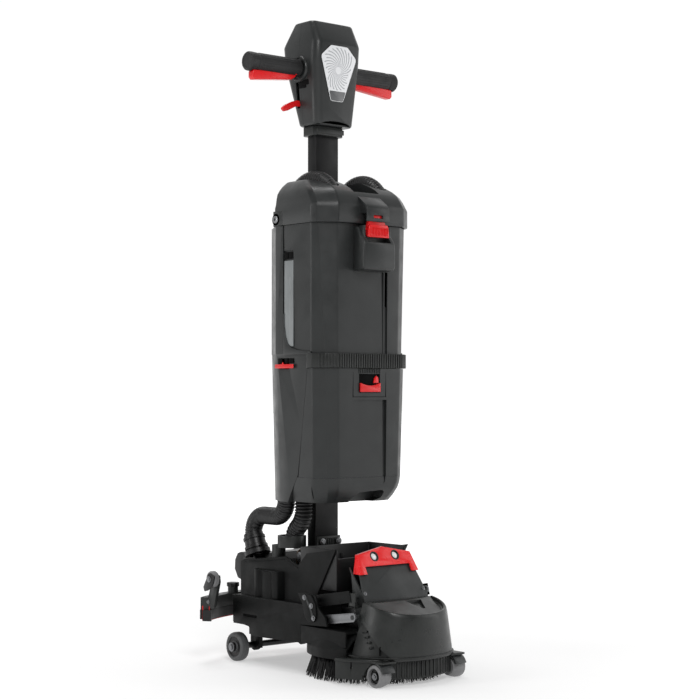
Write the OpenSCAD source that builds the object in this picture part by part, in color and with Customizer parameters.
// Walk-behind wet and dry floor scrubber: upright column with two tanks, tilting on a wheeled base.
// Every module draws one physical piece in its rest place. +Z is up, -Y is forward, the floor is z = 0.

/* [Overall] */
// Distance of the column behind the middle of the machine
column_y = 44.5; // [41:0.5:48]
// Height of the column's tilt axis
tilt_z = 205; // [204:0.5:206]
// Running clearance of pins in bores
run = 0.06; // [0.03:0.01:0.1]
// Gap left between neighbouring pieces
gap = 0.3; // [0.25:0.05:0.35]

/* [Column and handle] */
// Width of the column tube
column_w = 55; // [54:0.5:55]
// Depth of the column tube
column_d = 25; // [24:0.5:25]
// Height of the top of the column tube
column_top = 1030; // [1026:1:1034]
// Height of the handle bar
handle_z = 1125; // [1124:0.5:1126]
// Half the overall width of the handle
handle_half = 180; // [178:1:184]
// Radius of the grips
grip_r = 17.3; // [17:0.1:17.5]

/* [Tanks] */
// Half width of the upper tank at its rim
tank_half = 112; // [111:0.5:112]
// Forward reach of the upper tank at its rim
tank_front = 134; // [133:0.5:134]
// Height of the upper tank's rim
rim_z = 822.7; // [822:0.1:823]
// Height of the upper tank's floor
tank_floor_z = 585.3; // [585:0.1:586]
// Height of the lower tank's top
lower_top_z = 557.7; // [557:0.1:558]
// Wall thickness of the tanks
wall = 3.5; // [3:0.25:4]

/* [Base] */
// Half width of the chassis skirt
skirt_half = 110; // [109:0.5:111]
// Half width of the chassis box above the skirt
box_half = 88; // [87.5:0.5:88]
// Distance of the rear axle behind the column
axle_y = 134; // [133:0.5:134]
// Radius of the rear wheels
wheel_r = 27.5; // [27:0.5:28]
// Distance of the brush centre ahead of the column
brush_y = 145; // [144:0.5:146]
// Radius of the bristles at the floor
bristle_r = 124; // [122:0.5:124]
// Radius of the front rollers
roller_r = 20; // [19:0.5:20]

/* [Squeegee] */
// Radius of the squeegee's curve
squeegee_r = 297; // [295:1:299]
// Half the angle that the squeegee's curve covers
squeegee_a = 33.7; // [33:0.1:34]
// How far the squeegee is held above the floor
squeegee_up = 80.5; // [80:0.5:82]

/* [Hidden] */
$fn = 48;
hose_r = 17;
hose_lean = 22;
pin_r = 4;
lid_axis = [-3, 835];
lower_link_a = [-121, 104];
upper_link_a = [-104, 138];
link_v = [-84, 12.5];
lower_link_b = lower_link_a + link_v;
upper_link_b = upper_link_a + link_v;
slope_a = 63.4;
slope_n = [-sin(slope_a), cos(slope_a)];
slope_p = [-192, 181];
squeegee_c = 98;
charcoal = [0.17, 0.18, 0.18];
dark = [0.09, 0.095, 0.095];
black = [0.035, 0.035, 0.04];
red = [0.8, 0.05, 0.05];
steel = [0.62, 0.63, 0.65];

// ---- helpers ----

// Moves a piece drawn about the column's axis into the machine's own frame.
module placed() {
    translate([0, column_y, 0]) children();
}
module both_sides() {
    children();
    mirror([1, 0, 0]) children();
}
// Cylinder along X from x0 to x1, at a point of the side view.
module rod_x(x0, x1, yz, r) {
    translate([x0, yz[0], yz[1]]) rotate([0, 90, 0]) cylinder(h = x1 - x0, r = r);
}
// Side view outline given as [y, z] points, extruded from x0 to x1.
module side_plate(x0, x1, points) {
    translate([x0, 0, 0]) rotate([90, 0, 90]) linear_extrude(x1 - x0) polygon(points);
}
module box(lo, hi) {
    translate(lo) cube(hi - lo);
}
// Straight taper between two plan outlines.
module tapered(z0, z1, p0, p1) {
    hull() {
        translate([0, 0, z0]) linear_extrude(0.01) polygon(p0);
        translate([0, 0, z1 - 0.01]) linear_extrude(0.01) polygon(p1);
    }
}
// Tank outline from above: half width, front, half width of the front face, chamfer start, back.
function tank_plan(hw, front, face, cham, back) =
    [[-face, -front], [face, -front], [hw, -cham], [hw, back], [-hw, back], [-hw, -cham]];
// Rear housing outline from above.
function housing_plan(hw, front, side, back, back_w) =
    [[-hw, front], [hw, front], [hw, side], [back_w, back], [-back_w, back], [-hw, side]];
// Head outline from above at one height.
function head_plan(w, f, b, c) =
    [[-w + c, f], [w - c, f], [w, f + c], [w, b - c], [w - c, b], [-w + c, b], [-w, b - c], [-w, f + c]];
// Quarter or part bend of a hose in the side view, about [y, z], starting at angle a0 from +Y.
module bend(x, centre, r, a0, a, tube, inner) {
    translate([x, centre[0], centre[1]]) rotate([90, 0, 90]) rotate([0, 0, a0])
        rotate_extrude(angle = a) translate([r, 0]) difference() {
            circle(r = tube, $fn = 32);
            circle(r = inner, $fn = 32);
        }
}
module pipe_z(at, z0, z1, tube, inner) {
    translate([at[0], at[1], z0]) difference() {
        cylinder(h = z1 - z0, r = tube);
        translate([0, 0, -1]) cylinder(h = z1 - z0 + 2, r = inner);
    }
}
// Flat link between two points of the side view, with a bore at each end.
module link(x0, x1, a, b, w, ra, rb) {
    len = norm(b - a);
    ang = atan2(b[1] - a[1], b[0] - a[0]);
    translate([x0, a[0], a[1]]) rotate([90, 0, 90]) rotate([0, 0, ang]) linear_extrude(x1 - x0) difference() {
        union() {
            circle(r = w / 2);
            translate([len, 0]) circle(r = w / 2);
            translate([0, -w / 2]) square([len, w]);
        }
        circle(r = ra);
        translate([len, 0]) circle(r = rb);
    }
}
// Curved bar of the squeegee between two radii and two heights.
module squeegee_arc(r0, r1, z0, z1, a) {
    translate([0, -squeegee_c, z0]) rotate([0, 0, 90 - a]) rotate_extrude(angle = 2 * a, $fn = 96)
        translate([r0, 0]) square([r1 - r0, z1 - z0]);
}

// ---- base ----

module chassis() {
    ledge = 127;
    skirt = [[137, 76], [114, 75], [87, 71], [78, 55], [44, 55], [-70, 58], [-70, 91], [-146, 95],
        [-140, 110], [-119, ledge], [-114, 146], [-104, 150], [-95, 145], [-95, ledge], [137, ledge]];
    side = [[142, ledge - 1], [142, 189], [130, 194], [75, 199], [3, 208], [-35, 194], [-61, 218.5],
        [-144, 231], [-88, 141], [-81, ledge - 1]];
    deck_top = 144;
    color(dark) placed() difference() {
        union() {
            both_sides() {
                side_plate(-skirt_half, -skirt_half + 4, skirt);
                side_plate(-box_half, -box_half + 3.5, side);
                // ledge between skirt and box
                box([-skirt_half, -112, ledge - 3], [-box_half + 3.5, 137, ledge]);
                // raised rib block on the side
                translate([0, 0, ledge - 0.5]) linear_extrude(51)
                    polygon([[-box_half + 1, 95], [-104, 50], [-104, 26], [-box_half + 1, 22]]);
                // pivot stud of the lower link
                rod_x(-skirt_half + 3.5, -95.5, lower_link_a, pin_r);
                // pivot stud of the upper link
                rod_x(-skirt_half + 3.5, -89, upper_link_a, pin_r);
                // leg that holds the axle
                box([-62, 118, 22], [-53, 132.9, 77]);
                rod_x(-62, -53, [axle_y, wheel_r], 11);
                box([-62, 120, 27.5], [-53, 145, 77]);
                // rails for the squeegee carrier
                box([-52, 136.5, 80], [-46, 151.5, 140]);
                box([-52, 141, 139], [-46, 151.5, 185]);
                box([-47, 149.4, 80], [-41, 151.5, 185]);
            }
            // rear walls, floor and the deck that carries the column
            box([-skirt_half, 133, 76], [skirt_half, 137, ledge]);
            box([-box_half, 138, ledge - 3], [box_half, 142, 189]);
            box([-skirt_half + 1, 120, ledge - 3], [skirt_half - 1, 142, ledge]);
            box([-skirt_half + 1, 84, 73], [skirt_half - 1, 137, 77]);
            box([-skirt_half + 1, -14, 57], [skirt_half - 1, 86, 61]);
            box([-skirt_half + 1, 83, 57], [skirt_half - 1, 87, 77]);
            box([-box_half + 1, -34, deck_top - 4], [box_half - 1, 141, deck_top]);
            box([-box_half + 1, -34, deck_top - 4], [box_half - 1, -31, 190]);
            box([-skirt_half + 1, -14, 57], [skirt_half - 1, -11, ledge - 1]);
            box([-box_half + 1, -34, ledge - 6], [box_half - 1, -11, deck_top - 1]);
        }
        // small dark slot in the skirt
        both_sides() box([-skirt_half - 1, 62, 89], [-skirt_half + 2, 104, 94]);
        rod_x(-70, 70, [axle_y, wheel_r], 6 + run);
        // opening under the vacuum hose stem
        translate([-70, 46, deck_top - 5]) cylinder(h = 8, r = 10);
    }
}
module rear_cover() {
    color(black) placed() difference() {
        union() {
            both_sides() side_plate(-84, -52, [[137.9, 189.6], [142.4, 189.6], [142.4, 152], [157, 156], [167, 172],
                [166, 190], [158, 202.5], [148, 206], [141, 205.2], [137.9, 203.6]]);
            side_plate(-84, 84, [[96, 144.3], [96, 192], [108, 204.7], [138, 204.7], [150, 196], [152, 189.6],
            [137.6, 189.6], [137.6, 144.3]]);
        }
        side_plate(-81, 81, [[99, 140], [99, 191], [109, 201.7], [135, 201.7], [135, 140]]);
        translate([-70, 113, 198]) cylinder(h = 10, r = hose_r - 2);
    }
}
module battery_tray() {
    hw = box_half - 4;
    color(black) placed() difference() {
        union() {
            box([-hw, -141.5, 155], [hw, -37, 214]);
            box([-hw, -60, 155], [hw, -37, 229]);
            box([-hw, -141.5, 155], [-hw + 3, -37, 229]);
            box([hw - 3, -141.5, 155], [hw, -37, 229]);
        }
        box([-hw + 3, -138.5, 158], [hw - 3, -40, 230]);
    }
}
module battery_contacts() {
    color([0.75, 0.55, 0.25]) placed() both_sides() box([10, -42.4, 190], [16, -40.3, 212]);
}
module tilt_bracket() {
    color(dark) placed() difference() {
        union() {
            box([-37, -26, 144.3], [37, 26, 150]);
            both_sides() {
                box([-37, -16, 149], [-31, 16, tilt_z]);
                rod_x(-37, -31, [0, tilt_z], 16);
            }
        }
        rod_x(-40, 40, [0, tilt_z], 6 + run);
    }
}
module tilt_pin() {
    color(steel) placed() {
        rod_x(-56, 39.5, [0, tilt_z], 6);
        rod_x(-56.5, -53.5, [0, tilt_z], 10);
        rod_x(37.4, 40.5, [0, tilt_z], 9);
    }
}
module tilt_spring() {
    turns = 4;
    pitch = 3.8;
    color([0.45, 0.36, 0.27]) placed() translate([-52.9, 0, tilt_z]) rotate([0, 90, 0]) rotate_extrude() {
        for (i = [0 : turns - 1]) translate([14, 1.95 + i * pitch]) circle(r = 1.95, $fn = 24);
    }
}
module rear_axle() {
    color(black) placed() {
        rod_x(-113, 113, [axle_y, wheel_r], 6);
        both_sides() rod_x(-115.5, -111.4, [axle_y, wheel_r], 9);
        both_sides() rod_x(-90.6, -88, [axle_y, wheel_r], 9);
    }
}
module rear_wheel() {
    x0 = -111;
    translate([x0, axle_y, wheel_r]) rotate([0, 90, 0]) rotate_extrude($fn = 72) polygon([[6 + run, 0.4],
        [11, 0.4], [11, 3], [19, 3], [19, 1.2], [wheel_r - 3, 0], [wheel_r - 0.8, 2], [wheel_r, 6],
        [wheel_r, 14], [wheel_r - 0.8, 18], [wheel_r - 3, 20], [6 + run, 20]]);
}
module rear_wheel_left() {
    color([0.32, 0.32, 0.33]) placed() rear_wheel();
}
module rear_wheel_right() {
    color([0.32, 0.32, 0.33]) placed() mirror([1, 0, 0]) rear_wheel();
}
module hose_cup() {
    color(dark) placed() difference() {
        union() {
            translate([-58, 21, 222.5]) cylinder(h = 22.3, r = 27);
            translate([-70, 46, 144.3]) cylinder(h = 82, r = 13);
        }
        translate([-58, 21, 226]) cylinder(h = 30, r = 23);
        translate([-70, 46, 140]) cylinder(h = 90, r = 10);
    }
}
module suction_cuff() {
    color(black) placed() difference() {
        // leans back with the hose and is cut flat where it sits on the cover
        translate([-70, 111.5, 205]) rotate([-hose_lean, 0, 0]) rotate_extrude() polygon([[hose_r + 0.4, -14],
            [25, -14], [25, 6], [21, 9], [21, 22], [23.5, 23], [23.5, 30], [21, 31], [21, 36],
            [hose_r + 1.6, 36], [hose_r + 0.4, 27]]);
        box([-120, 60, 170], [-20, 160, 205]);
    }
}

// ---- upright ----

module column() {
    color(black) placed() difference() {
        box([-column_w / 2, -column_d / 2, tilt_z + 17], [column_w / 2, column_d / 2, column_top]);
        box([-column_w / 2 + 2.5, -column_d / 2 + 2.5, 200], [column_w / 2 - 2.5, column_d / 2 - 2.5, 1100]);
    }
}
module column_foot() {
    foot = 30.6;
    color(dark) placed() difference() {
        union() {
            rod_x(-foot, foot, [0, tilt_z], 12.5);
            box([-foot, -12.5, tilt_z], [foot, 12.5, tilt_z + 16.7]);
            box([-24.7, -9.7, tilt_z + 10], [24.7, 9.7, tilt_z + 55]);
            // clamp plate with ribs and two screw heads on the front
            box([-27, -19, tilt_z + 8], [27, -column_d / 2 - gap, tilt_z + 38]);
            box([-27, -18.5, tilt_z + 8], [27, -10, tilt_z + 16.5]);
            for (i = [-3 : 3]) box([i * 4.4 - 1, -22, tilt_z + 14], [i * 4.4 + 1, -18, tilt_z + 34]);
            both_sides() translate([-19.5, -24, tilt_z + 28]) rotate([-90, 0, 0]) cylinder(h = 6, r = 4.5, $fn = 6);
        }
        rod_x(-40, 40, [0, tilt_z], 6 + run);
    }
}
module rear_housing() {
    z0 = 311;
    seam = 584.9;
    low = housing_plan(103, -95, -2, 44, 80);
    mid = housing_plan(110, -95, 2, 48, 85);
    top = housing_plan(tank_half, -20, 2, 48, 86);
    low_in = housing_plan(100, -92, -3, 41, 78.5);
    mid_in = housing_plan(107, -92, 1, 45, 83.5);
    top_in = housing_plan(tank_half - 3, -17, 1, 45, 84.5);
    edge = [[-88, 556.2], [-88, seam], [60, seam], [60, z0], [-24, z0], [-32, 326], [-55, 362], [-70, 445]];
    edge_in = [[-83, 560], [-83, seam - 3], [60, seam - 3], [60, z0 + 3], [-23, z0 + 3], [-29, 327],
        [-51, 363], [-66, 446]];
    color(charcoal) placed() difference() {
        union() {
            intersection() {
                tapered(z0, seam, low, mid);
                side_plate(-130, 130, edge);
            }
            translate([0, 0, seam]) linear_extrude(rim_z - seam) polygon(top);
            both_sides() {
                // ear and screw that carry the lid
                box([-112.8, -14, rim_z - 1], [-100, 8, lid_axis[1]]);
                rod_x(-112.8, -100, lid_axis, 11);
                rod_x(-118, -112, lid_axis, 5);
            }
        }
        intersection() {
            tapered(z0, seam, low_in, mid_in);
            side_plate(-130, 130, edge_in);
        }
        translate([0, 0, seam - 4]) linear_extrude(rim_z - seam + 0.5) polygon(top_in);
        box([-column_w / 2 - gap, -column_d / 2 - gap, 200], [column_w / 2 + gap, column_d / 2 + gap, 900]);
        translate([-70, 23, 300]) cylinder(h = 20, r = hose_r + gap);
        translate([-54, -9, 300]) cylinder(h = 20, r = hose_r + gap);
        both_sides() translate([-58, 20, 810]) cylinder(h = 20, r = hose_r + gap);
        // slot of the red side tab
        box([-115, -36, 557], [-100, -4, 577]);
    }
}
module tank_belt() {
    rib = 3;
    color(charcoal) placed() union() {
        difference() {
            translate([0, 0, 558]) linear_extrude(27) polygon(tank_plan(113.5, 138, 77, 104, -88.4));
            translate([0, 0, 557]) linear_extrude(20) polygon(tank_plan(110.5, 135, 75, 102, -80));
        }
        for (i = [-12 : 12]) box([i * 6 - rib / 2, -139.6, 558], [i * 6 + rib / 2, -137.5, 585]);
    }
}
module vacuum_motor() {
    color(steel) placed() {
        translate([-66, 14, 640]) cylinder(h = 70, r = 26);
        translate([-66, 14, 709]) cylinder(h = 18, r = 28);
        translate([-66, 14, 620]) cylinder(h = 21, r = 12);
    }
}
// Solid of the upper tank, moved out by d on every side that shows.
module tank_solid(d) {
    tapered(tank_floor_z, rim_z, tank_plan(109 + d, 131 + d, 73 + d / 2, 99 + d / 2, -20.4),
        tank_plan(tank_half + d, tank_front + d, 76 + d / 2, 102 + d / 2, -20.4));
}
// Upright strip in the tank's left side, grown by g, reaching in by depth from the surface.
module window_prism(g, depth) {
    translate([0, -22.4 + g, 0]) rotate([90, 0, 0]) linear_extrude(27.2 + 2 * g) polygon([[-109.5 - g, 598.4 - g],
        [-109.2 + depth, 598.4 - g], [-111.4 + depth, 774.6 + g], [-111.7 - g, 774.6 + g]]);
}
module upper_tank() {
    color(charcoal) placed() difference() {
        union() {
            difference() {
                tank_solid(0);
                translate([0, 0, wall]) tapered(tank_floor_z, rim_z + 1, tank_plan(109 - wall, 131 - wall,
                    73 - wall / 2, 99 - wall / 2, -20.4 - wall), tank_plan(tank_half - wall,
                    tank_front - wall, 76 - wall / 2, 102 - wall / 2, -20.4 - wall));
                // recessed front panel
                side_plate(-45, 45, [[-150, 588], [-129.6, 588], [-131.6, 740], [-150, 740]]);
            }
            // housing of the lid latch
            box([-36, -165, 738], [36, -131.5, 806]);
            both_sides() box([-33, -158, 805], [-27.4, -146, 819]);
        }
        box([-27.4, -170, 788], [27.4, -145, 830]);
        both_sides() rod_x(-34, -27, [-152, 812], 2.5 + run);
        // pocket of the level window
        window_prism(0.4, 2.2);
    }
}
module level_window() {
    color([0.75, 0.77, 0.78]) placed() window_prism(0, 1.8);
}
module head_solid(d) {
    w = [46 - d, 56 - d, 55 - d, 50 - d];
    hull() {
        translate([0, 0, 1018 + d]) linear_extrude(0.01) polygon(head_plan(w[0], -39 + d, 20 - d, 10));
        translate([0, 0, 1137]) linear_extrude(0.01) polygon(head_plan(w[1], -47.5 + d, 50 - d, 12));
    }
    hull() {
        translate([0, 0, 1136.99]) linear_extrude(0.01) polygon(head_plan(w[1], -47.5 + d, 50 - d, 12));
        translate([0, 0, 1174]) linear_extrude(0.01) polygon(head_plan(w[2], -50 + d, 54 - d, 12));
    }
    hull() {
        translate([0, 0, 1173.99]) linear_extrude(0.01) polygon(head_plan(w[2], -50 + d, 54 - d, 12));
        translate([0, 0, 1214 - d]) linear_extrude(0.01) polygon(head_plan(w[3], -29 + d, 24 - d, 10));
    }
}
module head_shell() {
    difference() {
        union() {
            head_solid(0);
            both_sides() rod_x(-60, -50, [2, handle_z], 24);
        }
        difference() {
            head_solid(3);
            // post that the side lever turns on
            translate([-30, 4, 1061]) rotate([-90, 0, 0]) cylinder(h = 60, r = 2.5);
        }
        rod_x(-70, 70, [2, handle_z], 10 + gap);
        box([-column_w / 2 - gap, -column_d / 2 - gap, 1000], [column_w / 2 + gap, column_d / 2 + gap, 1040]);
        // slot of the side lever
        box([-62, 8, 1056], [-44, 16, 1100]);
    }
}
module head_front_shell() {
    color(charcoal) placed() intersection() {
        head_shell();
        box([-100, -100, 1000], [100, 1.85, 1300]);
    }
}
module head_rear_shell() {
    color(charcoal) placed() difference() {
        intersection() {
            head_shell();
            box([-100, 2.15, 1000], [100, 100, 1300]);
        }
        // window of the display and holes of the two buttons
        box([-32, 25, 1150], [32, 60, 1176]);
        both_sides() translate([-42, 30, 1163]) rotate([-90, 0, 0]) cylinder(h = 30, r = 4 + gap);
    }
}
module head_collar() {
    color(dark) placed() difference() {
        box([-36, -22, 1000], [36, 22, 1017.6]);
        box([-column_w / 2 - gap, -column_d / 2 - gap, 990], [column_w / 2 + gap, column_d / 2 + gap, 1020]);
    }
}
module handle_bar() {
    color(steel) placed() difference() {
        rod_x(-174, 174, [2, handle_z], 10);
        rod_x(-175, 175, [2, handle_z], 7.5);
    }
}
module grip() {
    difference() {
        union() {
            rod_x(-handle_half, -61, [2, handle_z], grip_r);
            rod_x(-handle_half, -handle_half + 6, [2, handle_z], grip_r + 1.2);
        }
        rod_x(-175, -55, [2, handle_z], 10 + gap);
        box([-173, 2 - 8, 1100], [-68, 2 + 8, handle_z - 9]);
        translate([-72, 2 - 12, 1111.5]) rotate([-90, 0, 0]) cylinder(h = 24, r = 1.5 + run);
    }
}
module grip_left() {
    color(black) placed() grip();
}
module grip_right() {
    color(black) placed() mirror([1, 0, 0]) grip();
}
module trigger() {
    // wedge that hinges on a small pin at its inner end
    translate([0, 2 + 7.5, 0]) rotate([90, 0, 0]) linear_extrude(15)
        polygon([[-72, 1114.2], [-169, 1108], [-171, 1104], [-171, 1092], [-166, 1087], [-80, 1099],
            [-70, 1107], [-69.4, 1111]]);
    translate([-72, 2 - 11, 1111.5]) rotate([-90, 0, 0]) cylinder(h = 22, r = 1.5);
}
module trigger_left() {
    color(red) placed() trigger();
}
module trigger_right() {
    color(red) placed() mirror([1, 0, 0]) trigger();
}
module head_decal() {
    color([0.75, 0.75, 0.76]) placed() translate([0, -46.1, 1112]) rotate([4.1, 0, 0]) rotate([90, 0, 0])
        linear_extrude(0.8) polygon([[-20, 52], [20, 52], [43, 31], [15, -52], [-15, -52], [-43, 31]]);
}
module display_panel() {
    color([0.05, 0.07, 0.09]) placed() box([-31.6, 40, 1150.4], [31.6, 50.4, 1175.6]);
}
module circuit_board() {
    color([0.1, 0.35, 0.15]) placed() box([-34, 22, 1146], [34, 23.6, 1180]);
}
module power_button() {
    color(red) placed() translate([-42, 44, 1163]) rotate([-90, 0, 0]) cylinder(h = 10, r = 4);
}
module mode_button() {
    color([0.6, 0.6, 0.62]) placed() translate([42, 44, 1163]) rotate([-90, 0, 0]) cylinder(h = 10, r = 4);
}
module head_lever() {
    color(red) placed() difference() {
        union() {
            translate([0, 15.2, 0]) rotate([90, 0, 0]) linear_extrude(6.4) polygon([[-30, 1064], [-60, 1062.5],
                [-86, 1051], [-90, 1047], [-87, 1044.5], [-80, 1046.5], [-58, 1058], [-30, 1058]]);
            translate([-30, 5, 1061]) rotate([-90, 0, 0]) cylinder(h = 14, r = 5);
        }
        translate([-30, 3, 1061]) rotate([-90, 0, 0]) cylinder(h = 20, r = 2.5 + run);
    }
}

// ---- lid ----

module lid_solid(d) {
    hull() {
        translate([0, 0, 850]) linear_extrude(0.01) polygon(tank_plan(116 - d, 142 - d, 79 - d / 2, 106 - d / 2, 2 - d));
        translate([0, 0, 862 - d]) linear_extrude(0.01)
            polygon(tank_plan(116 - d, 142 - d, 79 - d / 2, 106 - d / 2, 2 - d));
        translate([0, 0, 886 - d]) linear_extrude(0.01)
            polygon(tank_plan(112 - d, 128 - d, 74 - d / 2, 88 - d / 2, 2 - d));
        translate([0, 0, 907 - d]) linear_extrude(0.01)
            polygon(tank_plan(90 - d, 70 - d, 66 - d / 2, 50 - d / 2, -6 - d));
    }
}
module lid() {
    valley = 32;
    skirt_top = 850.01;
    color(charcoal) placed() difference() {
        union() {
            difference() {
                union() {
                    lid_solid(0);
                    translate([0, 0, 823.3]) linear_extrude(skirt_top - 823.3)
                        polygon(tank_plan(116, 142, 79, 106, -19));
                }
                difference() {
                    union() {
                        lid_solid(3.5);
                        translate([0, 0, 820]) linear_extrude(skirt_top - 820)
                            polygon(tank_plan(112.5, 138.5, 77.2, 104.2, -22.5));
                    }
                    box([-valley - 3, -200, 841.5], [valley + 3, 20, 950]);
                    box([-valley - 3, -25.5, 800], [valley + 3, 20, 950]);
                    for (s = [-1, 1]) translate([s * 58, -43, 847]) rotate([90, 0, 90])
                        rotate([0, 0, 2])
                        rotate_extrude(angle = 176, $fn = 64) translate([63, 0]) circle(r = 22.5, $fn = 32);
                }
            }
            // cheeks that reach back to the hinge screws
            both_sides() {
                box([-116, -24, 823.3], [-113.2, 6, 850.5]);
                rod_x(-116, -113.2, lid_axis, 11.5);
            }
            // front tongue over the latch
            box([-27, -160.5, 842], [27, -140, 846]);
            box([-27, -160.5, 826], [27, -157, 846]);
        }
        // central valley and the way for the column
        box([-valley, -116, 845], [valley, 20, 950]);
        box([-valley, -22, 800], [valley, 20, 950]);
        // channels and ports for the two hoses
        for (s = [-1, 1]) {
            translate([s * 58, -43, 847]) rotate([90, 0, 90]) rotate([0, 0, -14])
                rotate_extrude(angle = 208, $fn = 64) translate([63, 0]) circle(r = 19, $fn = 32);
        }
        both_sides() rod_x(-120, -110, lid_axis, 5 + run);
        both_sides() box([-113.2, -18.9, 820], [-99, 14, 849.9]);
        box([-14, -165, 832], [14, -150, 839]);
    }
}
module lid_latch() {
    color(red) placed() {
        box([-25, -156, 797], [25, -150, 840]);
        box([-25, -163, 797], [25, -155, 818]);
        for (i = [-9 : 9]) box([i * 2.6 - 0.6, -164, 799], [i * 2.6 + 0.6, -162.5, 816]);
        box([-13, -156.7, 833.5], [13, -155, 837.5]);
        rod_x(-31, 31, [-152, 812], 2.5);
    }
}

// ---- lower tank ----

module lower_tank() {
    z0 = 358.3;
    edge = [[-150, z0 - 1], [-150, lower_top_z], [-89, lower_top_z], [-89, 556], [-70.8, 444], [-57, z0 - 1]];
    edge_in = [[-150, z0 + wall], [-150, lower_top_z - wall], [-93, lower_top_z - wall], [-74.6, 444],
        [-61, z0 + wall]];
    color(charcoal) placed() difference() {
        intersection() {
            tapered(z0, lower_top_z, tank_plan(105, 133, 71, 98, 0), tank_plan(109.5, 136, 75, 102, 0));
            side_plate(-130, 130, edge);
        }
        intersection() {
            tapered(z0, lower_top_z, tank_plan(101.5, 127.8, 69.2, 96.2, 0),
                tank_plan(106, 130.8, 73.2, 100.2, 0));
            side_plate(-130, 130, edge_in);
        }
        // recessed front panel and the pocket of the release button
        side_plate(-45, 45, [[-150, 372], [-131.6, 372], [-133.5, 500], [-150, 500]]);
        box([-27, -150, 513], [27, -132.4, 540]);
        // filler hole, reached when the tank is out
        translate([60, -115, 545]) cylinder(h = 20, r = 9);
    }
}
module tank_cap() {
    color(charcoal) placed() intersection() {
        difference() {
            tapered(312, 358, tank_plan(92, 108, 60, 84, 0), tank_plan(105, 133, 71, 98, 0));
            tapered(316, 360, tank_plan(88, 104, 58, 82, 0), tank_plan(101.5, 129.5, 69.2, 96.2, 0));
        }
        side_plate(-130, 130, [[-150, 300], [-150, 358], [-55.5, 358], [-33.5, 325.5], [-28, 312], [-28, 300]]);
    }
}
module tank_release_button() {
    color(red) placed() box([-25, -139.2, 514.4], [25, -135.9, 534]);
}
module side_tab() {
    color(red) placed() {
        box([-113, -35.4, 558], [-107, -4.6, 566]);
        box([-109, -30, 559], [-101, -10, 565]);
    }
}

// ---- hoses ----

module recovery_hose() {
    color(dark) placed() {
        pipe_z([-70, 23], 310, 318, hose_r, hose_r - 2.5);
        bend(-70, [54, 310], 31, 180, 90, hose_r, hose_r - 2.5);
        translate([-70, 54, 279]) rotate([-90, 0, 0]) difference() {
            cylinder(h = 37, r = hose_r);
            translate([0, 0, -1]) cylinder(h = 39, r = hose_r - 2.5);
        }
        bend(-70, [91, 245], 34, 0, 90, hose_r, hose_r - 2.5);
        bend(-70, [91, 245], 34, -hose_lean, hose_lean, hose_r, hose_r - 2.5);
        translate([-70, 91, 245]) rotate([90, 0, 90]) rotate([0, 0, -hose_lean]) translate([34, 0, 0])
            rotate([90, 0, 0]) difference() {
                cylinder(h = 17, r = hose_r);
                translate([0, 0, -1]) cylinder(h = 19, r = hose_r - 2.5);
            }
    }
}
module vacuum_hose() {
    r = 37.5;
    a = 53.13;
    color(dark) placed() {
        pipe_z([-54, -9], 292, 318, hose_r, hose_r - 2.5);
        bend(-54, [-9 + r, 292], r, 180, a, hose_r, hose_r - 2.5);
        bend(-54, [21 - r, 232], r, 0, a, hose_r, hose_r - 2.5);
        pipe_z([-54, 21], 228, 232, hose_r, hose_r - 2.5);
    }
}
module lid_hoses() {
    color(dark) placed() both_sides() {
        pipe_z([-58, 20], 812, 847, hose_r, hose_r - 2.5);
        bend(-58, [-43, 847], 63, 0, 180, hose_r, hose_r - 2.5);
        pipe_z([-58, -106], 832, 847, hose_r, hose_r - 2.5);
    }
}

// ---- brush deck ----

module deck_housing() {
    color(dark) placed() difference() {
        union() {
            translate([0, 0, 86]) linear_extrude(4) union() {
                translate([-skirt_half, -198]) square([2 * skirt_half, 127.4]);
                polygon([[-86, -197], [86, -197], [80, -246], [50, -272], [-50, -272], [-80, -246]]);
            }
            both_sides() side_plate(-skirt_half, -skirt_half + 4, [[-70.6, 58.5], [-70.6, 88], [-198, 88], [-198, 63]]);
            // shroud round the brush
            translate([0, -brush_y, 0]) rotate_extrude($fn = 96)
                polygon([[117.5, 41], [121, 41], [121, 58], [98, 86.5], [94, 86.5], [117.5, 57]]);
        }
        translate([0, -brush_y, 80]) cylinder(h = 20, r = 14);
        // room for the front cover's sides
        both_sides() box([-125, -222, 30], [-91, -197.6, 84]);
    }
}
module brush_motor() {
    color(black) placed() difference() {
        translate([0, -brush_y, 90.3]) union() {
            cylinder(h = 35, r = 58);
            cylinder(h = 58, r = 42);
        }
        translate([0, -brush_y, 80]) cylinder(h = 25, r = 9 + run);
    }
}
// Front cover outline from above: half width, back, front, blunt in front.
function cover_plan(w, back, front, n = 20) = [for (i = [0 : n]) let (a = 180 * i / n, c = cos(a), k = sin(a))
    [w * sign(c) * pow(abs(c), 0.7), back + (front - back) * pow(k, 0.7)]];
module front_cover() {
    color(dark) placed() difference() {
        hull() {
            translate([0, 0, 46.5]) linear_extrude(0.01) polygon(cover_plan(103, -198, -300));
            translate([0, 0, 118]) linear_extrude(0.01) polygon(cover_plan(86, -214, -294));
            translate([0, 0, 142]) linear_extrude(0.01) polygon([[-79, -214], [-80, -222], [80, -222], [79, -214]]);
        }
        hull() {
            translate([0, 0, 46]) linear_extrude(0.01) polygon(cover_plan(100, -196, -297));
            translate([0, 0, 115]) linear_extrude(0.01) polygon(cover_plan(83, -213, -291));
            translate([0, 0, 138.6]) linear_extrude(0.01) polygon([[-76, -213], [-77, -220], [77, -220], [76, -213]]);
        }
        box([-84, -214.2, 40], [84, -190, 150]);
        // notch low on each side
        both_sides() box([-120, -290, 60], [-84, -268, 82]);
    }
}
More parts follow.
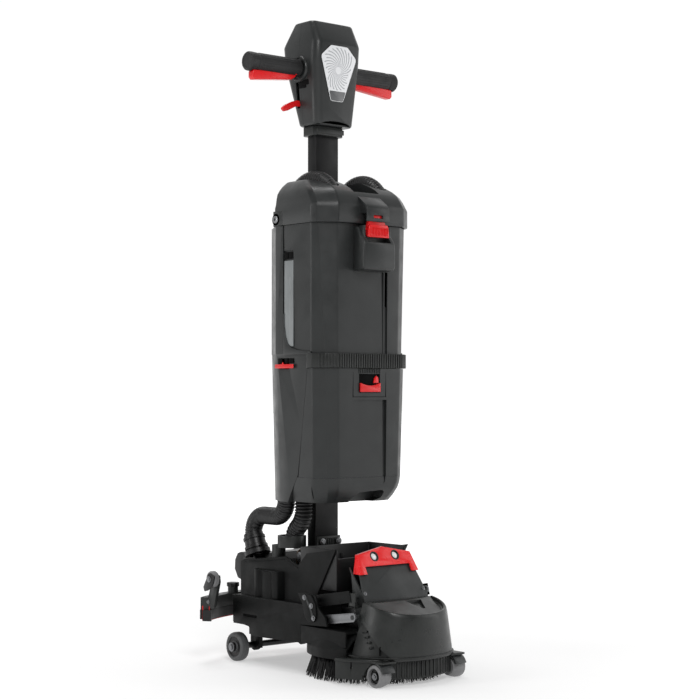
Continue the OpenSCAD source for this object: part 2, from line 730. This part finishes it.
// Wedge behind the sloping front, moved out by o.
module deck_wedge(o, back = 0) {
    intersection() {
        side_plate(-100, 100, [[-163 + back, 236], [-165.5 - 1.12 * o, 236], [-211 - 1.12 * o, 143],
            [-211 - 1.12 * o, 91], [-193 + o + back, 91], [-176 + o + back, 152], [-172 + o + back, 214]]);
        translate([0, -100, 0]) rotate([90, 0, 0]) linear_extrude(150) polygon([[-60 - o, 219 + o],
            [-77.5 - o, 143], [-77.5 - o, 90], [77.5 + o, 90], [77.5 + o, 143], [60 + o, 219 + o], [0, 231 + o]]);
    }
}
module lamp_axis(z0, z1, r) {
    both_sides() translate([-25, -174, 216]) rotate([slope_a, 0, 0]) translate([0, 0, z0]) cylinder(h = z1 - z0, r = r);
}
module front_panel() {
    color([0.2, 0.21, 0.21]) placed() difference() {
        union() {
            difference() {
                // sloping face with two side returns
                side_plate(-76, 76, [[-163, 230], [-165.5, 230], [-211, 143], [-211, 91], [-208, 91], [-208, 142],
                    [-163, 227]]);
                // outline cut to the tapering front
                both_sides() translate([0, -140, 0]) rotate([90, 0, 0]) linear_extrude(90)
                    polygon([[60, 219], [76, 149], [90, 149], [90, 260], [-1, 260], [-1, 231]]);
            }
            both_sides() {
                // side returns
                side_plate(-75, -72, [[-165.5, 200], [-211, 143], [-211, 91], [-193, 91], [-176, 152], [-172, 188]]);
                rod_x(-102, -74, lower_link_b, pin_r);
                rod_x(-95, -72, upper_link_b, pin_r);
                box([-78, -209, 96], [-72, -198, 125]);
                box([-75, -192, 140], [-70, -181, 160]);
            }
        }
        lamp_axis(-30, 30, 7.6);
    }
}
module red_hood() {
    color([0.9, 0.06, 0.05]) placed() difference() {
        deck_wedge(2.6);
        deck_wedge(gap, 20);
        // open below the band, with a short leg down each side
        translate([-53, -260, 80]) cube([106, 120, 121]);
        translate([-100, -260, 80]) cube([200, 120, 108]);
        translate([-100, -166, 80]) cube([200, 20, 200]);
        lamp_axis(-30, 30, 7.6);
    }
}
module headlamps() {
    color([0.95, 0.95, 0.95]) placed() lamp_axis(-12, 3.4, 7.2);
}
module bumper_skirt() {
    r_out = 140;
    color(dark) placed() difference() {
        union() {
            difference() {
                translate([0, -150, 12]) cylinder(h = 33.5, r = r_out, $fn = 96);
                translate([0, -150, 11]) cylinder(h = 31, r = r_out - 5, $fn = 96);
                translate([0, -150, 11]) cylinder(h = 40, r = 127.5, $fn = 96);
                box([-150, -196, 0], [150, 0, 60]);
                box([-120, -225, 30], [-104, -190, 60]);
                box([104, -225, 30], [120, -190, 60]);
            }
            // bracket beside each roller and the cowl over it
            both_sides() {
                box([-72.6, -274, 12], [-66, -253, 45.5]);
                box([-99, -283, 42], [-66, -247, 45.5]);
            }
            // ribs round the front
            for (a = [-28 : 4 : 28]) translate([0, -150, 14]) rotate([0, 0, a])
                translate([-2.2, -r_out - 1.4, 0]) cube([4.4, 3, 28]);
        }
        both_sides() {
            rod_x(-107.6, -73.4, [-264, roller_r], roller_r + 1.6);
            rod_x(-79, -60, [-264, roller_r], 4 + run);
            box([-107.6, -290, -1], [-73.4, -238, roller_r]);
        }
    }
}
module brush_disc() {
    color([0.13, 0.13, 0.13]) placed() {
        translate([0, -brush_y, 41]) cylinder(h = 12, r = 112, $fn = 96);
        translate([0, -brush_y, 52]) cylinder(h = 50, r = 9);
        translate([0, -brush_y, 52]) cylinder(h = 12, r = 30);
    }
}
module brush_bristles() {
    color([0.1, 0.1, 0.1]) placed() translate([0, -brush_y, 0]) rotate_extrude($fn = 96)
        polygon([[60, 0], [bristle_r, 0], [113, 40.7], [70, 40.7]]);
}
module lower_links() {
    color([0.5, 0.51, 0.52]) placed() both_sides()
        link(-101, -96, lower_link_a, lower_link_b, 16, pin_r + run, pin_r + run);
}
module upper_links() {
    color([0.5, 0.51, 0.52]) placed() both_sides()
        link(-94, -90, upper_link_a, upper_link_b, 14, pin_r + run, pin_r + 0.9);
}
module front_roller() {
    translate([-103, -264, roller_r]) rotate([0, 90, 0]) rotate_extrude($fn = 64) polygon([[0, 2], [9, 2], [11, 0],
        [roller_r - 4, 0], [roller_r, 5], [roller_r, 14], [roller_r - 4, 29], [4, 29], [4, 36.6], [0, 36.6]]);
}
module front_roller_left() {
    color([0.5, 0.5, 0.5]) placed() front_roller();
}
module front_roller_right() {
    color([0.5, 0.5, 0.5]) placed() mirror([1, 0, 0]) front_roller();
}

// ---- squeegee ----

module squeegee_carrier() {
    color(black) placed() {
        box([-45.6, 142.4, 100], [45.6, 149, 165]);
        both_sides() {
            box([-34, 148, 104], [-24, 186, 118]);
            box([-34, 148, 128], [-24, 156, 165]);
            rod_x(-34, -24, [180, 124], 7);
            box([-34, 173, 108], [-24, 187, 124]);
        }
    }
}
module squeegee_body() {
    r0 = squeegee_r - 11;
    z0 = squeegee_up + 18;
    color(dark) placed() difference() {
        union() {
            squeegee_arc(r0, squeegee_r + 11, z0, z0 + 26, squeegee_a);
            both_sides() {
                // end bracket up to the end wheel
                side_plate(-162, -156, [[158, z0 + 2], [146, z0 + 26], [129, 170], [115, 168], [113, 156],
                    [128, z0 + 8]]);
                rod_x(-176, -156, [121, 162], 4);
                rod_x(-178, -175.4, [121, 162], 7);
                // clamp knob on top of the bar
                translate([-75, 185, z0 + 25]) cylinder(h = 14, r = 10);
            }
        }
        squeegee_arc(squeegee_r - 8.3, squeegee_r - 5.2, z0 - 1, z0 + 10, squeegee_a + 2);
        squeegee_arc(squeegee_r + 5.2, squeegee_r + 8.3, z0 - 1, z0 + 10, squeegee_a + 2);
        box([-45, 100, z0 - 5], [45, 188.2, z0 + 27]);
    }
}
module squeegee_blades() {
    color(red) placed() {
        squeegee_arc(squeegee_r - 8, squeegee_r - 5.5, squeegee_up, squeegee_up + 27.5, squeegee_a);
        squeegee_arc(squeegee_r + 5.5, squeegee_r + 8, squeegee_up, squeegee_up + 27.5, squeegee_a);
    }
}
module squeegee_wheel() {
    translate([-175, 121, 162]) rotate([0, 90, 0]) rotate_extrude() polygon([[4 + run, 0], [13, 0], [15, 2],
        [15, 10], [13, 12.5], [4 + run, 12.5]]);
}
module squeegee_wheel_left() {
    color([0.4, 0.4, 0.41]) placed() squeegee_wheel();
}
module squeegee_wheel_right() {
    color([0.4, 0.4, 0.41]) placed() mirror([1, 0, 0]) squeegee_wheel();
}

chassis();
rear_cover();
battery_tray();
battery_contacts();
tilt_bracket();
tilt_pin();
tilt_spring();
rear_axle();
rear_wheel_left();
rear_wheel_right();
hose_cup();
suction_cuff();
column();
column_foot();
rear_housing();
tank_belt();
vacuum_motor();
upper_tank();
level_window();
head_front_shell();
head_rear_shell();
head_collar();
handle_bar();
grip_left();
grip_right();
trigger_left();
trigger_right();
head_decal();
display_panel();
circuit_board();
power_button();
mode_button();
head_lever();
lid();
lid_latch();
lower_tank();
tank_cap();
tank_release_button();
side_tab();
recovery_hose();
vacuum_hose();
lid_hoses();
deck_housing();
brush_motor();
front_cover();
front_panel();
red_hood();
headlamps();
bumper_skirt();
brush_disc();
brush_bristles();
lower_links();
upper_links();
front_roller_left();
front_roller_right();
squeegee_carrier();
squeegee_body();
squeegee_blades();
squeegee_wheel_left();
squeegee_wheel_right();
